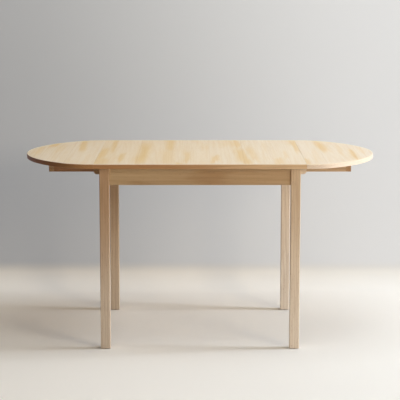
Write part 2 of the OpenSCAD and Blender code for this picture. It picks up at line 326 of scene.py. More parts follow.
@dataclass(frozen=True)
class Streak:
    """A streak of tan heartwood that runs with the fibres."""

    place: float
    width: float
    start: float
    end: float
    depth: float = 1.0
    lean: float = 0.0

    def lay(self, across: Signal, along: Signal) -> Signal:
        """Draws the streak with soft edges.

        Args:
            across: Place across the fibres.
            along: Place along the fibres.

        Returns:
            The streak's depth in its middle, and 0 away from it.
        """
        middle, reach = (self.start + self.end) / 2, abs(self.end - self.start) / 2
        off = abs(across - along * self.lean - (self.place - middle * self.lean))
        beyond = abs(along - middle)
        side = 1.0 - off.between(self.width * 0.1, self.width * 0.8)
        end = 1.0 - beyond.between(reach * 0.45, reach * 1.25)
        return side * end * self.depth


@dataclass(frozen=True)
class Cut:
    """How a piece was cut from the log, and the light and shade painted on it."""

    grain: Grain
    heart: tuple[float, float] = (0.0, 0.0)
    seed: float = 0.0
    stave: float = 0.0
    # Shares of painted light at the two ends of the piece: a paler colour where the lamps fall strongest.
    sapwood: tuple[float, float] = (0.0, 0.0)
    # Shares of painted shade at the two ends of the piece: a deeper colour where less light falls.
    ripe: tuple[float, float] = (0.0, 0.0)
    fade_across: bool = False
    streaks: tuple[Streak, ...] = ()

    def fade(self, run: Run) -> Signal:
        """Place that decides how much painted light and painted shade shows.

        Args:
            run: Place in the wood.

        Returns:
            The place, in metres.
        """
        if self.grain is Grain.ROUND_THE_END:
            return abs(run.along)
        return run.across if self.fade_across else run.along


@dataclass(frozen=True)
class Staves:
    """What differs between the glued staves of a panel."""

    tone: Signal
    slip: Signal
    near: Signal
    seam: Signal


@dataclass(frozen=True)
class Timber:
    """Birch with a satin lacquer."""

    pale: Colour
    straw: Colour
    tan: Colour
    umber: Colour
    ring: float = 0.0075
    ring_bend: float = 0.022
    ring_taper: float = 0.011
    ring_depth: float = 0.18
    tan_share: float = 0.5
    streak_share: float = 0.6
    tone_share: float = 0.4
    wander: float = 0.034
    fray: float = 0.3
    fibre_depth: float = 0.16
    fleck_depth: float = 0.22
    seam_depth: float = 0.3
    end_depth: float = 0.28
    pore_depth: float = 0.00025
    pore_strength: float = 0.35
    roughness: float = 0.44
    coat: float = 0.12
    coat_roughness: float = 0.28
    # Colours of the painted light and painted highlight on upward faces and their arris, paler than the
    # sides.
    upper_face: Pair | None = None
    # Paler colour of the painted light.
    sapwood: Colour = painted(246, 234, 214)
    # Deeper colour of the painted shade.
    ripe: Colour = painted(158, 88, 38)

    def glued(self, recipe: Recipe, cut: Cut, across: Signal) -> Staves:
        """Divides a panel into staves of uneven widths.

        Args:
            recipe: Material that is being made.
            cut: How the panel was cut and glued.
            across: Place across the fibres.

        Returns:
            What differs from stave to stave.
        """
        steps = across / cut.stave + cut.seed
        steps = steps + recipe.maths("SINE", steps * STAVE_SWELL[0]) * STAVE_SWELL[1]
        part = steps.part()
        settings, inputs = {"noise_dimensions": "1D"}, {"W": steps.whole() + cut.seed * SEED_STEPS[0]}
        luck = recipe.signal("ShaderNodeTexWhiteNoise", settings, inputs, "Color")
        tone, slip, lean = recipe.split(luck)
        return Staves(
            tone=tone,
            slip=slip * STAVE_SLIP,
            near=(part - lean) * cut.stave,
            seam=abs(part - 0.5).between(*GLUE_LINE),
        )

    def late_wood(self, recipe: Recipe, cut: Cut, run: Run, near: Signal) -> Signal:
        """Draws the darker late wood of the growth rings.

        Args:
            recipe: Material that is being made.
            cut: How the piece was cut.
            run: Place in the wood.
            near: Distance across the fibres from the heart of the log.

        Returns:
            1 in the late wood of a ring, and 0 in its early wood.
        """
        bent = BENDS.lay(recipe, run) - 0.5
        from_heart = recipe.maths("SQRT", near * near + (run.deep - cut.heart[1]) ** 2)
        wavy = from_heart + bent * self.ring_bend + run.along * self.ring_taper
        growth = (wavy / self.ring + cut.seed).part()
        return growth.between(0.35, 0.9) * (1.0 - growth.between(0.93, 1.0))

    def ground(
        self, recipe: Recipe, cut: Cut, run: Run, vein: Signal, patch: Signal, staves: Staves | None
    ) -> Signal:
        """Lays the broad colours of the wood, from pale wood to tan heartwood, with painted light and
        painted shade.

        Args:
            recipe: Material that is being made.
            cut: How the piece was cut.
            run: Place in the wood.
            vein: Narrow noise along the fibres.
            patch: Broad noise along the fibres.
            staves: What differs between the staves of a panel, or nothing for one board.

        Returns:
            The colour under the rings and pores.
        """
        ragged = run.across + (vein - 0.5) * 0.02 + (patch - 0.5) * self.wander
        frayed = run.along + (vein - 0.5) * self.fray
        patch = (patch + (vein - 0.5) * 0.22).between(0.5, 0.66)
        colour = recipe.blend(vein.between(0.3, 0.7) * self.streak_share, self.pale, self.straw)
        if staves:
            colour = recipe.blend(staves.tone * self.tone_share, colour, self.straw)
            patch = patch * (0.25 + staves.tone)
        colour = recipe.blend(patch * self.tan_share, colour, self.tan)
        # Painted light and painted shade, blended in between the two ends of the piece.
        for shares, tint in ((cut.sapwood, self.sapwood), (cut.ripe, self.ripe)):
            if any(shares):
                share = cut.fade(run).between(*cut.grain.ends) * (shares[1] - shares[0]) + shares[0]
                colour = recipe.blend(share, colour, tint)
        if cut.streaks:
            heartwood = cut.streaks[0].lay(ragged, frayed)
            for streak in cut.streaks[1:]:
                heartwood = recipe.maths("MAXIMUM", heartwood, streak.lay(ragged, frayed))
            colour = recipe.blend(heartwood * (0.55 + vein * 0.5), colour, self.tan)
        return colour

    def dress(self, name: str, cut: Cut) -> bpy.types.Material:
        """Makes the finish of one piece.

        Args:
            name: Name of the material.
            cut: How the piece was cut.

        Returns:
            The material.
        """
        material = bpy.data.materials.new(name)
        recipe = Recipe(material)
        run = cut.grain.run(recipe)
        staves = self.glued(recipe, cut, run.across) if cut.stave else None
        board = run.moved(staves.slip) if staves else run
        near = staves.near if staves else run.across - cut.heart[0]
        late = self.late_wood(recipe, cut, board, near)
        board = board.moved(cut.seed * SEED_STEPS[1])
        vein, fibre = VEINS.lay(recipe, board), FIBRES.lay(recipe, board)
        fleck, patch = FLECKS.lay(recipe, board), PATCHES.lay(recipe, board)
        colour = self.ground(recipe, cut, run, vein, patch, staves)
        height = fibre * 0.6 + vein * 0.25 - late * 0.15
        marks = [
            (late, self.ring_depth),
            (fibre.between(0.42, 0.75), self.fibre_depth),
            (fleck.between(0.64, 0.74), self.fleck_depth),
        ]
        if staves:
            height = height - staves.seam * 0.8
            marks.append((staves.seam, self.seam_depth))
        if cut.grain is not Grain.ROUND_THE_END:
            marks.append((cut.grain.end_grain(recipe), self.end_depth))
        for mark, depth in marks:
            colour = recipe.blend(mark * depth, colour, self.umber)
        # Painted light: faces that look upward, the arris among them, take a near-white and the top's
        # straw colour, a painted highlight against the darker sides.
        if self.upper_face:
            up = recipe.split(recipe.place("Normal"))[2]
            lit_upper_colour = recipe.blend(vein.between(0.35, 0.7), *self.upper_face)
            colour = recipe.blend(up.between(0.5, 0.92), colour, lit_upper_colour)
        shader = {
            "Base Color": colour,
            "Roughness": self.roughness + (fibre - 0.5) * 0.16 + late * 0.04,
            "Normal": recipe.relief(height, self.pore_depth, self.pore_strength),
            "Coat Weight": self.coat,
            "Coat Roughness": self.coat_roughness,
        }
        recipe.close(shader)
        return material


@dataclass(frozen=True)
class Steel:
    """Zinc plated steel, drawn or rolled."""

    bright: Colour
    dull: Colour
    roughness: float = 0.34
    relief_depth: float = 0.00004
    relief_strength: float = 0.3

    def dress(self, name: str) -> bpy.types.Material:
        """Makes the finish.

        Args:
            name: Name of the material.

        Returns:
            The material.
        """
        material = bpy.data.materials.new(name)
        recipe = Recipe(material)
        x, y, z = recipe.split(recipe.place())
        bloom = recipe.noise(recipe.place(), 140.0, 4.0)
        drawn = recipe.noise(recipe.point(x * 2400.0, y * 60.0, z * 2400.0), 1.0, 2.0)
        rubbed = recipe.noise(recipe.place(), 420.0, 3.0)
        colour = recipe.blend(bloom.between(0.35, 0.7), self.bright, self.dull)
        colour = recipe.blend(drawn.between(0.4, 0.8) * 0.25, colour, self.dull)
        shader = {
            "Base Color": colour,
            "Metallic": 1.0,
            "Roughness": self.roughness + (bloom - 0.5) * 0.3 + (rubbed - 0.5) * 0.16,
            "Normal": recipe.relief(drawn + rubbed * 0.5, self.relief_depth, self.relief_strength),
        }
        recipe.close(shader)
        return material


@dataclass(frozen=True)
class Nylon:
    """Moulded plastic with a fine spark texture."""

    body: Colour
    worn: Colour
    roughness: float = 0.46
    relief_depth: float = 0.00005
    relief_strength: float = 0.35

    def dress(self, name: str) -> bpy.types.Material:
        """Makes the finish.

        Args:
            name: Name of the material.

        Returns:
            The material.
        """
        material = bpy.data.materials.new(name)
        recipe = Recipe(material)
        spark = recipe.noise(recipe.place(), 2600.0, 2.0)
        scuff = recipe.noise(recipe.place(), 240.0, 3.0)
        shader = {
            "Base Color": recipe.blend(scuff.between(0.45, 0.7) * 0.6, self.body, self.worn),
            "Roughness": self.roughness + scuff * 0.18,
            "Normal": recipe.relief(spark, self.relief_depth, self.relief_strength),
        }
        recipe.close(shader)
        return material


TOP_BIRCH = Timber(
    pale=painted(240, 229, 207),
    straw=painted(234, 217, 184),
    tan=painted(229, 197, 130),
    umber=painted(192, 148, 92),
    ring_depth=0.05,
    fibre_depth=0.1,
    tan_share=0.25,
    sapwood=painted(244, 237, 224),
    ripe=painted(232, 194, 120),
)
LIPPING_BIRCH = Timber(
    pale=painted(235, 198, 143),
    straw=painted(222, 176, 114),
    tan=painted(204, 152, 90),
    umber=painted(148, 98, 52),
    ring=0.0042,
    fibre_depth=0.24,
    # The upper face is painted light: a near-white mixed with the top's straw colour.
    upper_face=(painted(250, 240, 220), TOP_BIRCH.straw),
)
# Painted light: a paler lipping, with fainter rings, for the leaf end that the key lamp lights.
LIT_LIPPING_BIRCH = replace(
    LIPPING_BIRCH, ring_depth=0.07, fibre_depth=0.12, sapwood=painted(245, 234, 217)
)
LEG_BIRCH = Timber(
    pale=painted(230, 207, 171),
    straw=painted(219, 190, 148),
    tan=painted(204, 167, 120),
    umber=painted(152, 108, 66),
    ring=0.0085,
    ring_depth=0.14,
    fibre_depth=0.24,
    sapwood=painted(252, 245, 232),
)
APRON_BIRCH = Timber(
    pale=painted(214, 191, 153),
    straw=painted(200, 172, 131),
    tan=painted(184, 150, 107),
    umber=painted(144, 105, 66),
    ring=0.013,
    ring_depth=0.09,
    tan_share=0.7,
    streak_share=0.8,
    fibre_depth=0.18,
)
SUPPORT_BIRCH = Timber(
    pale=painted(218, 188, 150),
    straw=painted(202, 166, 124),
    tan=painted(186, 145, 101),
    umber=painted(136, 96, 60),
    ring=0.007,
    ring_depth=0.28,
    fibre_depth=0.28,
)
HINGE_STEEL = Steel(bright=painted(206, 204, 198), dull=painted(172, 169, 162))
PIN_STEEL = Steel(bright=painted(196, 196, 194), dull=painted(140, 140, 138), roughness=0.24)
SCREW_STEEL = Steel(bright=painted(212, 206, 190), dull=painted(150, 142, 122), roughness=0.3)
GLIDE_NYLON = Nylon(body=painted(96, 78, 62), worn=painted(128, 108, 90))


@dataclass
class Workbench:
    """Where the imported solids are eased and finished."""

    sharp: float = math.radians(33)
    flat: float = math.radians(0.3)
    weld: float = 1e-6
    facets: int = 3
    hole_r: float = 0.0052

    def copy_of(self, node: str) -> bmesh.types.BMesh:
        """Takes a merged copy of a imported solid.

        Args:
            node: Name of the solid.

        Returns:
            Its mesh, with each flat face made whole.
        """
        mesh = bmesh.new()
        mesh.from_mesh(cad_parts[node].data)
        bmesh.ops.remove_doubles(mesh, verts=mesh.verts, dist=self.weld)
        bmesh.ops.dissolve_limit(mesh, angle_limit=self.flat, verts=mesh.verts, edges=mesh.edges)
        bmesh.ops.recalc_face_normals(mesh, faces=mesh.faces)
        return mesh

    def ease(self, mesh: bmesh.types.BMesh, width: float, holes: Sequence[Vector]) -> None:
        """Rounds the outward arrises of a piece.

        Args:
            mesh: Mesh of the piece.
            width: Width of the rounding.
            holes: Middles of the screw holes whose rims stay as they are.
        """
        arrises = []
        for edge in mesh.edges:
            middle = (edge.verts[0].co + edge.verts[1].co) / 2
            clear = all((middle - hole).xy.length > self.hole_r for hole in holes)
            if clear and edge.is_manifold and edge.calc_face_angle_signed() > self.sharp:
                arrises.append(edge)
        bmesh.ops.bevel(
            mesh,
            geom=arrises,
            offset=width,
            offset_type="OFFSET",
            segments=self.facets,
            profile=0.5,
            affect="EDGES",
            clamp_overlap=True,
            material=-1,
        )

    def finish(
        self, mesh: bmesh.types.BMesh, name: str, body: str, slot: Slot, material: bpy.types.Material
    ) -> bpy.types.Object:
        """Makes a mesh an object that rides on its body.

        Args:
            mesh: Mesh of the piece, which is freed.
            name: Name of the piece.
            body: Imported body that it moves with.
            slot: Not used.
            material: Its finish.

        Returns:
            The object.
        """
        mesh.normal_update()
        for face in mesh.faces:
            face.smooth = True
        for edge in mesh.edges:
            edge.smooth = edge.is_manifold and edge.calc_face_angle() < self.sharp
        data = bpy.data.meshes.new(name)
        mesh.to_mesh(data)
        mesh.free()
        data.materials.append(material)
        piece = bpy.data.objects.new(name, data)
        bpy.context.scene.collection.objects.link(piece)
        piece.modifiers.new("even_shading", "WEIGHTED_NORMAL").keep_sharp = True
        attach(piece, body)
        LOG.info("%s rides on %s", name, body)
        return piece

    def finished(
        self,
        node: str,
        body: str,
        slot: Slot,
        material: bpy.types.Material,
        width: float = 0.0,
        holes: Sequence[Vector] = (),
    ) -> None:
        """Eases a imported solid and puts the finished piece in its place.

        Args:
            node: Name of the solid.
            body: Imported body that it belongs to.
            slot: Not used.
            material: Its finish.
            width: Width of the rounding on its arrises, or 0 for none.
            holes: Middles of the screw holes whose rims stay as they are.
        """
        mesh = self.copy_of(node)
        if width:
            self.ease(mesh, width, holes)
        piece = self.finish(mesh, f"{node}_finished", body, slot, material)
        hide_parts(node)

    def paint(self, node: str, material: bpy.types.Material) -> None:
        """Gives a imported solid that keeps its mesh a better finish.

        Args:
            node: Name of the solid.
            material: Its finish.
        """
        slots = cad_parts[node].data.materials
        slots.clear()
        slots.append(material)
        LOG.info("%s keeps its solid", node)


@dataclass
class Screws:
    """Countersunk wood screws with a cross recess, driven upward."""

    bench: Workbench
    material: bpy.types.Material
    facets: int = 32
    head_r: float = 0.0035
    rim_h: float = 0.0003
    head_h: float = 0.0018
    shank_r: float = 0.0018
    shank_share: float = 0.8
    tip_r: float = 0.0002
    arm: float = 0.0019
    slit: float = 0.0004
    recess: float = 0.0013
    recess_taper: float = 0.55
    sunk: float = 0.0001
    turn_by_count: float = 1.13
    turn_by_place: tuple[float, float] = (40.0, 25.0)

    def head_face(self, mesh: bmesh.types.BMesh) -> None:
        """Makes the head's face with its cross recess.

        Args:
            mesh: Mesh that the face is added to.
        """
        bmesh.ops.create_circle(mesh, segments=self.facets, radius=self.head_r)
        for vert in bmesh.ops.create_grid(mesh, x_segments=3, y_segments=3, size=self.arm)["verts"]:
            for axis in (0, 1):
                if abs(vert.co[axis]) < self.arm / 2:
                    vert.co[axis] = math.copysign(self.slit, vert.co[axis])
        corners = [face for face in mesh.faces if min(map(abs, face.calc_center_median().xy)) > self.slit]
        bmesh.ops.delete(mesh, geom=corners, context="FACES")
        floor = list(mesh.faces)
        edges = [edge for edge in mesh.edges if not edge.is_manifold]
        bmesh.ops.triangle_fill(mesh, edges=edges, use_beauty=True)
        pushed = bmesh.ops.extrude_face_region(mesh, geom=floor)["geom"]
        sunk = [item for item in pushed if isinstance(item, bmesh.types.BMVert)]
        bmesh.ops.delete(mesh, geom=floor, context="FACES_ONLY")
        bmesh.ops.translate(mesh, verts=sunk, vec=(0, 0, self.recess))
        bmesh.ops.scale(mesh, verts=sunk, vec=(self.recess_taper, self.recess_taper, 1.0))

    def one(self, length: float) -> bpy.types.Mesh:
        """Makes one screw with the face of its head at the origin and its shank upward.

        Args:
            length: Length over all.

        Returns:
            Its mesh data.
        """
        mesh = bmesh.new()
        self.head_face(mesh)
        rim = [edge for edge in mesh.edges if edge.is_boundary]
        steps = (
            (self.head_r, self.rim_h),
            (self.shank_r, self.head_h),
            (self.shank_r, length * self.shank_share),
            (self.tip_r, length),
        )
        radius = self.head_r
        for wide, high in steps:
            pushed = bmesh.ops.extrude_edge_only(mesh, edges=rim)["geom"]
            verts = [item for item in pushed if isinstance(item, bmesh.types.BMVert)]
            edges = [item for item in pushed if isinstance(item, bmesh.types.BMEdge)]
            rim = [edge for edge in edges if edge.is_boundary]
            bmesh.ops.translate(mesh, verts=verts, vec=(0, 0, high - verts[0].co.z))
            bmesh.ops.scale(mesh, verts=verts, vec=(wide / radius, wide / radius, 1.0))
            radius = wide
        bmesh.ops.contextual_create(mesh, geom=rim)
        bmesh.ops.recalc_face_normals(mesh, faces=mesh.faces)
        data = bpy.data.meshes.new("screw")
        mesh.to_mesh(data)
        mesh.free()
        return data

    def drive(self, name: str, body: str, places: Sequence[Vector], length: float) -> None:
        """Drives a set of screws, which is one piece.

        Args:
            name: Name of the set.
            body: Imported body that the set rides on.
            places: Middles of the countersinks, on the surface that they open in.
            length: Length of each screw.
        """
        pattern = self.one(length)
        mesh = bmesh.new()
        for count, place in enumerate(places):
            before = len(mesh.verts)
            mesh.from_mesh(pattern)
            mesh.verts.ensure_lookup_table()
            verts = mesh.verts[before:]
            by_place = place.x * self.turn_by_place[0] + place.y * self.turn_by_place[1]
            turn = Matrix.Rotation(count * self.turn_by_count + by_place, 3, "Z")
            bmesh.ops.rotate(mesh, verts=verts, cent=(0, 0, 0), matrix=turn)
            bmesh.ops.translate(mesh, verts=verts, vec=place + Vector((0, 0, self.sunk)))
        bpy.data.meshes.remove(pattern)
        self.bench.finish(mesh, name, body, Slot.HINGE_STEEL, self.material)


@dataclass
class Tabletop:
    """Fixed top with its front and back lippings."""

    bench: Workbench
    stave: float = 0.1
    streaks: tuple[Streak, ...] = (
        Streak(-0.392, 0.024, 0.12, -0.22, 1.0),
        Streak(-0.385, 0.06, -0.2, -0.44, 0.6),
        Streak(-0.362, 0.022, 0.42, -0.1, 1.05),
        Streak(-0.315, 0.026, -0.06, -0.32, 1.0),
        Streak(-0.230, 0.046, 0.3, -0.44, 1.05, 0.02),
        Streak(-0.128, 0.04, 0.46, 0.0, 1.0),
        Streak(-0.132, 0.06, 0.1, -0.44, 0.5),
        Streak(-0.049, 0.018, 0.0, -0.36, 0.8),
        Streak(-0.078, 0.03, -0.34, -0.42, 0.9),
        Streak(0.061, 0.034, -0.13, -0.33, 0.85),
        Streak(0.118, 0.03, 0.44, 0.14, 0.5),
        Streak(0.152, 0.032, 0.42, 0.1, 1.0, -0.06),
        Streak(0.171, 0.034, 0.12, -0.44, 1.0, -0.05),
        Streak(0.212, 0.034, 0.2, -0.38, 0.6, -0.03),
        Streak(0.268, 0.02, 0.3, -0.1, 0.35),
        Streak(0.312, 0.034, -0.2, -0.44, 0.7),
        Streak(0.345, 0.016, 0.0, -0.24, 0.45),
        Streak(0.402, 0.026, 0.42, -0.06, 0.9),
    )

    def build(self) -> None:
        """Finishes the panel and both lippings."""
        cut = Cut(
            Grain.FRONT_TO_BACK,
            heart=(0.0, 0.68),
            seed=0.37,
            stave=self.stave,
            # Painted shade: the panel turns warmer and deeper towards its left end.
            ripe=(0.24, 0.0),
            fade_across=True,
            streaks=self.streaks,
        )
        self.bench.paint("top_panel", TOP_BIRCH.dress("birch_top", cut))
        for row in Row:
            heart, seed = (0.76, row.value * 0.33), 2.0 + row.value
            # Painted light towards the right end, painted shade towards the left end.
            cut = Cut(Grain.LENGTHWISE, heart=heart, seed=seed, sapwood=(0.0, 0.3), ripe=(0.58, 0.0))
            material = LIPPING_BIRCH.dress(f"birch_lipping_{row.word}", cut)
            self.bench.finished(f"top_lipping_{row.word}", "frame", Slot.LIPPING_WOOD, material)


@dataclass
class Leaf:
    """One leaf: its panel and its curved lipping."""

    bench: Workbench
    side: Side
    stave: float = 0.1
    left_streaks: tuple[Streak, ...] = (
        Streak(-0.615, 0.034, 0.34, 0.14, 1.2),
        Streak(-0.495, 0.034, 0.42, 0.0, 1.0, -0.03),
        Streak(-0.575, 0.03, 0.28, -0.02, 0.35),
        Streak(-0.664, 0.03, 0.18, -0.08, 0.7),
        Streak(-0.445, 0.02, -0.1, -0.4, 0.25),
    )
    right_streaks: tuple[Streak, ...] = (
        Streak(0.418, 0.028, -0.2, -0.42, 0.85),
        Streak(0.510, 0.04, 0.4, -0.02, 0.95, -0.04),
        Streak(0.468, 0.02, 0.1, -0.34, 0.35),
        Streak(0.620, 0.026, 0.1, -0.27, 1.0),
        Streak(0.575, 0.02, 0.24, -0.1, 0.4),
        Streak(0.662, 0.022, 0.16, -0.08, 0.4),
    )

    def build(self) -> None:
        """Finishes the panel and the lipping."""
        word, sign, left = self.side.word, self.side.value, self.side is Side.LEFT
        cut = Cut(
            Grain.FRONT_TO_BACK,
            heart=(0.0, 0.67),
            seed=5.0 + sign * 1.83,
            stave=self.stave,
            # Painted light on the right leaf, painted shade on the left leaf.
            sapwood=(0.0, 0.0) if left else (0.2, 0.2),
            ripe=(0.13, 0.13) if left else (0.0, 0.0),
            streaks=self.left_streaks if left else self.right_streaks,
        )
        self.bench.paint(f"leaf_panel_{word}", TOP_BIRCH.dress(f"birch_leaf_{word}", cut))
        cut = Cut(
            Grain.ROUND_THE_END,
            heart=(0.76, 0.4),
            seed=7.0 + sign,
            # Painted light on the right lipping; painted shade on the left one, deepest at its far end.
            sapwood=(0.0, 0.0) if left else (0.85, 0.8),
            ripe=(1.0, 0.52) if left else (0.0, 0.0),
        )
        # The right lipping takes the paler birch of the painted light.
        birch = LIPPING_BIRCH if left else LIT_LIPPING_BIRCH
        material = birch.dress(f"birch_leaf_lipping_{word}", cut)
        self.bench.finished(f"leaf_lipping_{word}", f"leaf_{word}", Slot.LIPPING_WOOD, material)


@dataclass
class Legs:
    """Four square legs on their glides."""

    bench: Workbench
    arris: float = 0.0006
    glide_arris: float = 0.0005
    heart: tuple[float, float] = (0.31, 0.40)
    # Painted light for each leg, as shares at the foot and at the top: paler at the foot, palest on the
    # right back leg, which the key lamp lights.
    sapwood: tuple[tuple[Side, Row, tuple[float, float]], ...] = (
        (Side.LEFT, Row.FRONT, (0.76, 0.04)),
        (Side.LEFT, Row.BACK, (0.6, 0.05)),
        (Side.RIGHT, Row.FRONT, (0.8, 0.24)),
        (Side.RIGHT, Row.BACK, (1.0, 0.62)),
    )

    def build(self) -> None:
        """Finishes the legs and the glides."""
        nylon = GLIDE_NYLON.dress("nylon_glide")
        for side, row, sapwood in self.sapwood:
            word = f"{side.word}_{row.word}"
            cut = Cut(
                Grain.UPRIGHT,
                heart=(side.value * self.heart[0], row.value * self.heart[1]),
                seed=11.0 + side.value * 1.7 + row.value * 0.6,
                sapwood=sapwood,
                # Painted shade: darker towards the top of each leg, under the tabletop, most on the left
                # legs.
                ripe=(0.0, 0.3) if side is Side.LEFT else (0.0, 0.05),
            )
            birch = LEG_BIRCH.dress(f"birch_leg_{word}", cut)
            self.bench.finished(f"leg_{word}", "frame", Slot.FRAME_WOOD, birch, self.arris)
            glide, slot = f"glide_{word}", Slot.GLIDE_PLASTIC
            self.bench.finished(glide, "frame", slot, nylon, self.glide_arris)


@dataclass
class Aprons:
    """Four aprons, their corner blocks and the buttons that hold the top down."""

    bench: Workbench
    screws: Screws
    arris: float = 0.0006
    button_y: float = 0.311
    button_x: float = 0.3455
    long_x: float = 0.19
    screw_z: float = 0.705
    screw_l: float = 0.028

    def boards(self) -> None:
        """Finishes the four aprons."""
        for row in Row:
            heart, seed = (0.60, row.value * 0.42), 17.0 + row.value * 1.3
            # Painted shade: the front and back aprons turn deeper towards their right ends.
            cut = Cut(Grain.LENGTHWISE, heart=heart, seed=seed, ripe=(0.0, 0.14))
            birch = APRON_BIRCH.dress(f"birch_apron_{row.word}", cut)
            self.bench.finished(f"apron_{row.word}", "frame", Slot.FRAME_WOOD, birch, self.arris)
        for side in Side:
            heart, seed = (side.value * 0.44, 0.60), 21.0 + side.value * 1.3
            cut = Cut(Grain.FRONT_TO_BACK, heart=heart, seed=seed)
            birch = APRON_BIRCH.dress(f"birch_apron_{side.word}", cut)
            self.bench.finished(f"apron_{side.word}", "frame", Slot.FRAME_WOOD, birch, self.arris)

    def blocks(self) -> None:
        """Finishes the corner blocks and the buttons, and drives the buttons' screws."""
        cut = Cut(Grain.UPRIGHT, heart=(0.1, 0.1), seed=25.0)
        birch = SUPPORT_BIRCH.dress("birch_corner_block", cut)
        cut = Cut(Grain.LENGTHWISE, heart=(0.6, 0.1), seed=27.0)
        ends = SUPPORT_BIRCH.dress("birch_button_end", cut)
        cut = Cut(Grain.FRONT_TO_BACK, heart=(0.1, 0.6), seed=29.0)
        sides = SUPPORT_BIRCH.dress("birch_button", cut)
        for side in Side:
            hole = Vector((side.value * self.button_x, 0.0, self.screw_z))
            self.button(f"button_{side.word}_end", ends, hole)
            for row in Row:
                word = f"{side.word}_{row.word}"
                block, slot = f"corner_block_{word}", Slot.SUPPORT_WOOD
                self.bench.finished(block, "frame", slot, birch, self.arris)
                hole = Vector((side.value * self.long_x, row.value * self.button_y, self.screw_z))
                self.button(f"button_{word}", sides, hole)

    def button(self, node: str, material: bpy.types.Material, hole: Vector) -> None:
        """Finishes one button and drives its screw."""
        self.bench.finished(node, "frame", Slot.SUPPORT_WOOD, material, self.arris, [hole])
        self.screws.drive(f"screw_{node}", "frame", [hole], self.screw_l)

    def build(self) -> None:
        """Finishes the boards, then the blocks and buttons."""
        self.boards()
        self.blocks()


@dataclass
class LeafSupports:
    """What carries one leaf: two stops on the frame, two bearers and their cross bar on the leaf."""

    bench: Workbench
    screws: Screws
    side: Side
    arris: float = 0.001
    stop_arris: float = 0.0007
    stop_x: float = 0.3966
    stop_y: float = 0.302
    stop_z: float = 0.690
    stop_steps: tuple[float, float] = (-0.0075, 0.0075)
    stop_screw_l: float = 0.042
    bearer_screw_l: float = 0.040
    bearer_y: float = 0.251
    bearer_z: float = 0.693
    bearer_x: tuple[float, float] = (0.438, 0.549)

    def build(self) -> None:
        """Finishes the stops, the bearers and the cross bar."""
        word, sign, right = self.side.word, self.side.value, self.side is Side.RIGHT
        body, slot = f"leaf_{word}", Slot.SUPPORT_WOOD
        # Painted light: the right stops are fully pale, in the paler top birch, where the key lamp lights
        # them.
        pale = (1.0, 1.0) if right else (0.0, 0.0)
        cut = Cut(Grain.FRONT_TO_BACK, heart=(sign * 0.5, 0.62), seed=31.0, sapwood=pale)
        stop = (TOP_BIRCH if right else SUPPORT_BIRCH).dress(f"birch_stop_{word}", cut)
        # Painted light on the right bearers, painted shade on the left bearers.
        pale, ripe = ((0.25, 0.25), (0.0, 0.0)) if right else ((0.0, 0.0), (0.5, 0.5))
        heart, seed = (0.62, sign * 0.34), 33.0 + sign
        cut = Cut(Grain.LENGTHWISE, heart=heart, seed=seed, sapwood=pale, ripe=ripe)
        rail = SUPPORT_BIRCH.dress(f"birch_bearer_{word}", cut)
        cut = Cut(Grain.FRONT_TO_BACK, heart=(sign * 0.68, 0.62), seed=37.0 + sign)
        bar = SUPPORT_BIRCH.dress(f"birch_cross_bar_{word}", cut)
        for row in Row:
            node, y = f"leaf_stop_{word}_{row.word}", row.value * self.stop_y
            holes = [Vector((sign * self.stop_x, y + step, self.stop_z)) for step in self.stop_steps]
            self.bench.finished(node, "frame", slot, stop, self.stop_arris, holes)
            self.screws.drive(f"screws_{node}", "frame", holes, self.stop_screw_l)
            node, y = f"bearer_{word}_{row.word}", row.value * self.bearer_y
            holes = [Vector((sign * x, y, self.bearer_z)) for x in self.bearer_x]
            self.bench.finished(node, body, slot, rail, self.arris, holes)
            self.screws.drive(f"screws_{node}", body, holes, self.bearer_screw_l)
        self.bench.finished(f"cross_bar_{word}", body, slot, bar, self.arris)


@dataclass
class BackFlapHinges:
    """Three hinges of one leaf, each of two plates and a pin, with their screws."""

    bench: Workbench
    screws: Screws
    side: Side
    steel: bpy.types.Material
    pin: bpy.types.Material
    joint_x: float = 0.411
    plate_arris: float = 0.0003
    pin_arris: float = 0.0004
    pitch: float = 0.17
    plate_z: float = 0.720
    holes: tuple[tuple[float, float], ...] = ((0.0112, -0.018), (0.0112, 0.018), (0.019, 0.0))
    screw_l: float = 0.014

    def build(self) -> None:
        """Finishes the plates and pins, and drives the screws."""
        side, sign = self.side.word, self.side.value
        for word, y in (("front", -self.pitch), ("middle", 0.0), ("back", self.pitch)):
            for plate, body, out in (("frame", "frame", -1), ("leaf", f"leaf_{side}", 1)):
                node, slot = f"hinge_{plate}_plate_{side}_{word}", Slot.HINGE_STEEL
                holes = [
                    Vector((sign * (self.joint_x + out * x), y + step, self.plate_z))
                    for x, step in self.holes
                ]
                self.bench.finished(node, body, slot, self.steel, self.plate_arris, holes)
                self.screws.drive(f"screws_{node}", body, holes, self.screw_l)
            node = f"hinge_pin_{side}_{word}"
            self.bench.finished(node, "frame", Slot.PIN_STEEL, self.pin, self.pin_arris)


@dataclass(frozen=True)
class SoftBox:
    """A soft lamp, with its place and size in metres and its power in watts."""

    name: str
    place: tuple[float, float, float]
    size: tuple[float, float]
    power: float
    colour: tuple[float, float, float]
    mirrored: bool

    def hang(self, aim: Vector) -> None:
        """Hangs the lamp.

        Args:
            aim: Point that the lamp faces.
        """
        data = bpy.data.lights.new(self.name, "AREA")
        data.shape = "RECTANGLE"
        data.size, data.size_y = self.size
        data.energy = self.power
        data.color = self.colour
        made = bpy.data.objects.new(self.name, data)
        made.location = self.place
        made.rotation_euler = (aim - Vector(self.place)).to_track_quat("-Z", "Y").to_euler()
        made.visible_camera = False
        made.visible_glossy = self.mirrored
        bpy.context.scene.collection.objects.link(made)


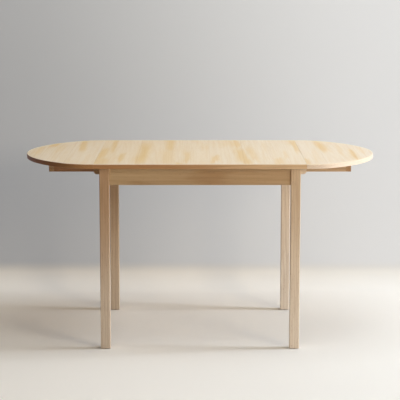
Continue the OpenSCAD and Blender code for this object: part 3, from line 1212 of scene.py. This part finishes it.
@dataclass
class Studio:
    """Floor and backdrop, lamps and camera. A pair of colours is left and right."""

    floor: Pair = (painted(254, 253, 246), painted(240, 243, 241))
    wall: Pair = (painted(202, 208, 213), painted(211, 215, 218))
    floor_glow: Pair = (painted(216, 209, 196), painted(244, 243, 238))
    # The glows are painted light on the paper, from grey on the left to white on the right, so the wall
    # is painted darker on the left as shade.
    wall_glow: Pair = (painted(181, 181, 181), painted(252, 254, 255))
    floor_share: float = 0.04
    wall_share: float = 0.4
    wall_foot: tuple[float, float] = (0.07, 0.13)
    bounce: Pair = ((0.46, 0.37, 0.28, 1.0), (0.86, 0.8, 0.72, 1.0))
    half_width: float = 7.0
    floor_y: float = -9.0
    wall_y: float = 0.78
    wall_h: float = 4.0
    cove: float = 0.12
    cove_facets: int = 20
    aim: tuple[float, float, float] = (0.0, 0.0, 0.6)
    boxes: tuple[SoftBox, ...] = (
        SoftBox("key", (5.8, -0.1, 3.2), (1.5, 2.0), 226.0, (0.93, 1.0, 1.13), False),
        SoftBox("fill", (2.6, -3.2, 1.75), (1.1, 1.1), 47.0, (1.0, 0.82, 0.61), False),
        SoftBox("overhead", (0.3, -0.4, 3.2), (1.8, 1.8), 30.0, (1.0, 0.97, 0.915), True),
    )
    sky_power: float = 0.25
    sky_glow: Pair = ((0.2, 0.14, 0.09, 1.0), (1.3, 1.32, 1.42, 1.0))
    lens: float = 135.9
    sensor: float = 36.0
    camera_place: tuple[float, float, float] = (0.0, -6.1458, 1.5085)
    camera_dip: float = 0.1565

    def backdrop(self) -> None:
        """Makes the floor and the wall as one sweep."""
        mesh = bmesh.new()
        profile = ((self.floor_y, 0.0), (self.wall_y, 0.0), (self.wall_y, self.wall_h))
        left, right = (
            [mesh.verts.new((x, y, z)) for y, z in profile] for x in (-self.half_width, self.half_width)
        )
        for step in (0, 1):
            mesh.faces.new((left[step], right[step], right[step + 1], left[step + 1]))
        bmesh.ops.bevel(
            mesh,
            geom=[edge for edge in mesh.edges if len(edge.link_faces) == 2],
            offset=self.cove,
            segments=self.cove_facets,
            profile=0.5,
            affect="EDGES",
            material=-1,
        )
        for face in mesh.faces:
            face.smooth = True
        data = bpy.data.meshes.new("sweep")
        mesh.to_mesh(data)
        mesh.free()
        data.materials.append(self.paper())
        sweep = bpy.data.objects.new("sweep", data)
        bpy.context.scene.collection.objects.link(sweep)

    def shown(self, recipe: Recipe) -> Signal:
        """Makes the paper as it is seen, with a little glow.

        Args:
            recipe: Material that is being made.

        Returns:
            The shader.
        """
        x, _y, z = recipe.split(recipe.place())
        right, wall = (x * 0.5 + 0.5).between(0.0, 1.0), z.between(*self.wall_foot)
        floor = recipe.blend(right, *self.floor)
        paint = recipe.blend(wall, floor, recipe.blend(right, *self.wall))
        floor = recipe.blend(right, *self.floor_glow)
        glow = recipe.blend(wall, floor, recipe.blend(right, *self.wall_glow))
        matt = recipe.signal("ShaderNodeBsdfDiffuse", {}, {"Color": paint})
        lit = recipe.signal("ShaderNodeEmission", {}, {"Color": glow})
        share = wall * (self.wall_share - self.floor_share) + self.floor_share
        return recipe.signal("ShaderNodeMixShader", {}, {0: share, 1: matt, 2: lit})

    def bounced(self, recipe: Recipe) -> Signal:
        """The paper as it throws light back on the table, less from the left."""
        right = (recipe.split(recipe.place())[0] * 0.6 + 0.5).between(0.0, 1.0)
        return recipe.signal("ShaderNodeBsdfDiffuse", {}, {"Color": recipe.blend(right, *self.bounce)})

    def paper(self) -> bpy.types.Material:
        """Makes the sweep's matt paper, which is clear when it is seen from behind.

        Returns:
            The material.
        """
        material = bpy.data.materials.new("sweep_paper")
        recipe = Recipe(material)
        ray = recipe.node("ShaderNodeLightPath", {}, {}).outputs
        kinds = ("Is Camera Ray", "Is Glossy Ray", "Is Transmission Ray")
        seen, glossy, through = (Signal(recipe, ray[kind]) for kind in kinds)
        straight = recipe.maths("MINIMUM", seen + glossy + through, 1.0)
        faces = {0: straight, 1: self.bounced(recipe), 2: self.shown(recipe)}
        front = recipe.signal("ShaderNodeMixShader", {}, faces)
        clear = recipe.signal("ShaderNodeBsdfTransparent", {}, {})
        behind = recipe.signal("ShaderNodeNewGeometry", {}, {}, "Backfacing")
        surface = recipe.signal("ShaderNodeMixShader", {}, {0: behind, 1: front, 2: clear})
        recipe.node("ShaderNodeOutputMaterial", {}, {"Surface": surface})
        return material

    def sky(self) -> None:
        """Lights the world, more from the right than from the left."""
        world = bpy.data.worlds.new("studio")
        recipe = Recipe(world)
        x = recipe.split(recipe.place("Generated"))[0]
        colour = recipe.blend(x * 0.5 + 0.5, *self.sky_glow)
        inputs = {"Color": colour, "Strength": self.sky_power}
        shade = recipe.signal("ShaderNodeBackground", {}, inputs)
        recipe.node("ShaderNodeOutputWorld", {}, {"Surface": shade})
        bpy.context.scene.world = world

    def camera(self) -> None:
        """Sets the camera at the photograph's angle."""
        data = bpy.data.cameras.new("camera")
        data.lens = self.lens
        data.sensor_width = self.sensor
        made = bpy.data.objects.new("camera", data)
        made.location = self.camera_place
        made.rotation_euler = (math.pi / 2 - self.camera_dip, 0.0, 0.0)
        bpy.context.scene.collection.objects.link(made)
        bpy.context.scene.camera = made

    def build(self) -> None:
        """Sets up the stage, the lamps and the camera."""
        self.backdrop()
        for box in self.boxes:
            box.hang(Vector(self.aim))
        self.sky()
        self.camera()
        bpy.context.scene.view_settings.view_transform = "Standard"


def main() -> None:
    """Builds the table from the top down, then the studio."""
    logging.basicConfig(level=logging.INFO, format="%(name)s: %(message)s")
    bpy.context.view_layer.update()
    bench = Workbench()
    screws = Screws(bench, SCREW_STEEL.dress("steel_screw"))
    steel, pin = HINGE_STEEL.dress("steel_hinge"), PIN_STEEL.dress("steel_pin")
    Tabletop(bench).build()
    Legs(bench).build()
    Aprons(bench, screws).build()
    for side in Side:
        Leaf(bench, side).build()
        LeafSupports(bench, screws, side).build()
        BackFlapHinges(bench, screws, side, steel, pin).build()
    Studio().build()


if __name__ == "__main__":
    main()
